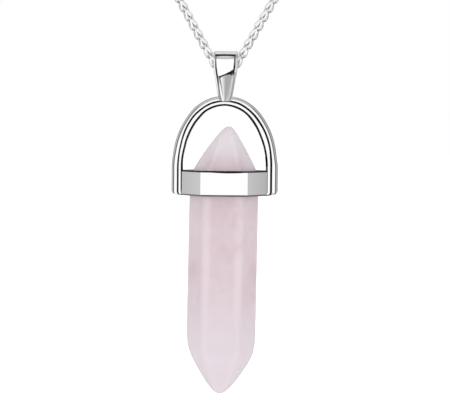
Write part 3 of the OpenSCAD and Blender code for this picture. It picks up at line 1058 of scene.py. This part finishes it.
def makeArch():
    section, rows = strapSection(), strapRows()
    right, left = ([strapRing(section, row, i == 0, way) for i, row in enumerate(rows)] for way in (1, -1))
    rings = right + left[-2::-1]
    points, faces, places = skin(rings)
    footRings, footSide, little = (0, len(rings) - 2), 0.35 * arch["depth"], 0.01
    kinds = []
    for i, j in places:
        x, y, paintedDark = section[j]
        # the dark lines and the feet's undersides get painted shade
        underFoot = i in footRings and abs(y) > footSide and x > flankWidth - little
        kind = 1 if i >= 0 and (paintedDark or underFoot) else 0
        # the painted inner line of shade is fainter below the collar's top
        if kind and x > flankWidth + arch["groove"] + little and rings[i][0].z < hinge.z + collarTop:
            kind = 2
        kinds.append(kind)
    piece = buildPiece("holder_arch", points, faces, [polishedSilver, paintedShadeLine, innerLine], "pendant",
                       "holder", kinds, sharpAt=24)
    # keeps the strap out of the light on the collar and the stone
    piece.visible_glossy = piece.visible_diffuse = False


def bailHalfWidth(z):
    half, foot, soft = bail["width"] / 2, bail["footWidth"] / 2, bail["topRound"]
    top = half - 0.02
    if z > bail["radius"] - soft:
        return top - soft + math.sqrt(max(0, soft ** 2 - (z - bail["radius"] + soft) ** 2))
    # height and half width, from the foot to the top
    rows = [(footEnd, foot), (-2.8, foot + 0.22), (-1.6, half - 0.36), (-0.4, half - 0.17),
            (0.5, half - 0.04), (1.3, half), (bail["radius"], top)]
    return tableAt(rows, z)[0]


def bailStops():
    # the loop from the side, from the front foot over the top to the back foot: outer point, inner point, and
    # whether the panel is sunk there
    r, slope = bail["radius"], math.radians(bail["slope"])
    c, s = math.cos(slope), math.sin(slope)
    inR = r - bail["wall"]
    footY = r * c - (-footEnd - r * s) * math.tan(slope)
    footInY = footY - bail["legWall"]
    topAngle = math.pi - math.asin((r - bail["panelTop"]) / r)

    def onLoop(angle, panel):
        way = Vector((math.cos(angle), math.sin(angle)))
        return way * r, way * inR, panel

    stops = []
    for i in range(bail["legSteps"]):
        t = i / bail["legSteps"]
        outer = Vector((-footY, footEnd)).lerp(Vector((-r * c, -r * s)), t)
        inner = Vector((-footInY, footEnd)).lerp(Vector((-inR * c, -inR * s)), t)
        stops.append((outer, inner, 1))
    first, count = math.pi + slope, bail["panelSteps"]
    stops += [onLoop(first + (topAngle - first) * i / count, 1) for i in range(count + 1)]
    first, count = topAngle - bail["stepLap"], bail["loopSteps"]
    stops += [onLoop(first + (-slope - first) * i / count, 0) for i in range(count + 1)]
    for i in range(1, bail["backSteps"] + 1):
        t = i / bail["backSteps"]
        outer = Vector((r * c, -r * s)).lerp(Vector((footY, footEnd)), t)
        inner = Vector((inR * c, -inR * s)).lerp(Vector((footInY, footEnd)), t)
        stops.append((outer, inner, 0))
    return stops


# places in a section of the bail: the lines beside the panel, and the border to its right
leftLineAt, rightLineAt, borderAt = 3, 12, 13
# the last section with the sunk panel
panelEnd = bail["legSteps"] + bail["panelSteps"]


def bailRing(i, outer, inner, panel):
    w = bailHalfWidth(outer.y)
    wall = (inner - outer).length
    inward = (inner - outer) / wall
    pillow = bail["pillow"] * panel * smoothStep(panelEnd - i, *bail["pillowFade"])
    wide, narrow = bail["panelLeft"]
    left = wide + (narrow - wide) * smoothStep(-outer.y, *bail["panelLeftFall"]) - w
    right = w - bail["panelRight"]
    panelLeft, panelRight = left + bail["panelLine"], right - bail["panelLine"]
    tilt = bail["borderTilt"] * (1 - smoothStep(i, *bail["tiltFade"]))
    inAcross, inDeep = bail["innerBevel"]
    cornerAcross, cornerDeep, cornerEnd = bail["outerBevel"]
    borderAcross, borderDeep = bail["borderBevel"]
    # across and how deep below the outer side, from the left wall over the front to the right wall and back
    row = [(-w, wall - inDeep), (-w, cornerEnd), (-w + cornerAcross, cornerDeep), (left, 0)]
    for k in range(-4, 5):
        swell = pillow * (1 - (k / 4) ** 2)
        row.append((panelLeft + (panelRight - panelLeft) * (k + 4) / 8, bail["panelDepth"] * panel - swell))
    row += [(right, 0), (w - borderAcross, tilt), (w, borderDeep), (w, wall - inDeep), (w - inAcross, wall),
            (-w + inAcross, wall)]
    arc = bail["topArc"] * max(0, 1 - abs(i - panelEnd + 1) / bail["topArcSpan"])
    ring = []
    for x, deep in row:
        spot = Matrix.Rotation(arc * (x / w) ** 2, 2) @ (outer + inward * deep)
        ring.append(Vector((x, spot.x, spot.y)) + hinge)
    return ring


def bailKind(i, j):
    onPanel = leftLineAt < j < rightLineAt
    if panelEnd - 1 <= i <= panelEnd and (onPanel or j in (leftLineAt, rightLineAt)):
        return 1  # painted shade on the step above the panel
    if 0 <= i < panelEnd and j in (leftLineAt, rightLineAt) or i == panelEnd - 2 and onPanel:
        return 2
    return 3 if i >= 0 and j == borderAt else 0


def makeBail():
    rings = [bailRing(i, *stop) for i, stop in enumerate(bailStops())]
    points, faces, places = skin(rings)
    # points of a section as far as the panel's middle, and those between the panel's sides
    around, leftPoints, panelPoints = len(rings[0]), 9, range(5, 12)
    shadeMask, border = [], []
    for i in range(len(rings)):
        left, right = tableAt(bail["leftLine"], i), tableAt(bail["rightLine"], i)
        lines = left * leftPoints + right * (around - leftPoints)
        if panelEnd - 2 <= i < panelEnd:
            # the panel gets painted shade softly towards the line above it
            for j in panelPoints:
                lines[j] = bail["topShade"] * (i - panelEnd + 2)
        shadeMask += lines
        border += tableAt(bail["borderDim"], i) * around
    buildPiece("holder_bail", points, faces, [polishedSilver, paintedShadeLine, bailLine, bailBorder], "pendant",
               "holder", [bailKind(i, j) for i, j in places], sharpAt=24,
               masks={"shadeMask": shadeMask, "borderDim": border})


makeCollar()
makeArch()
makeBail()
print("holder is made")
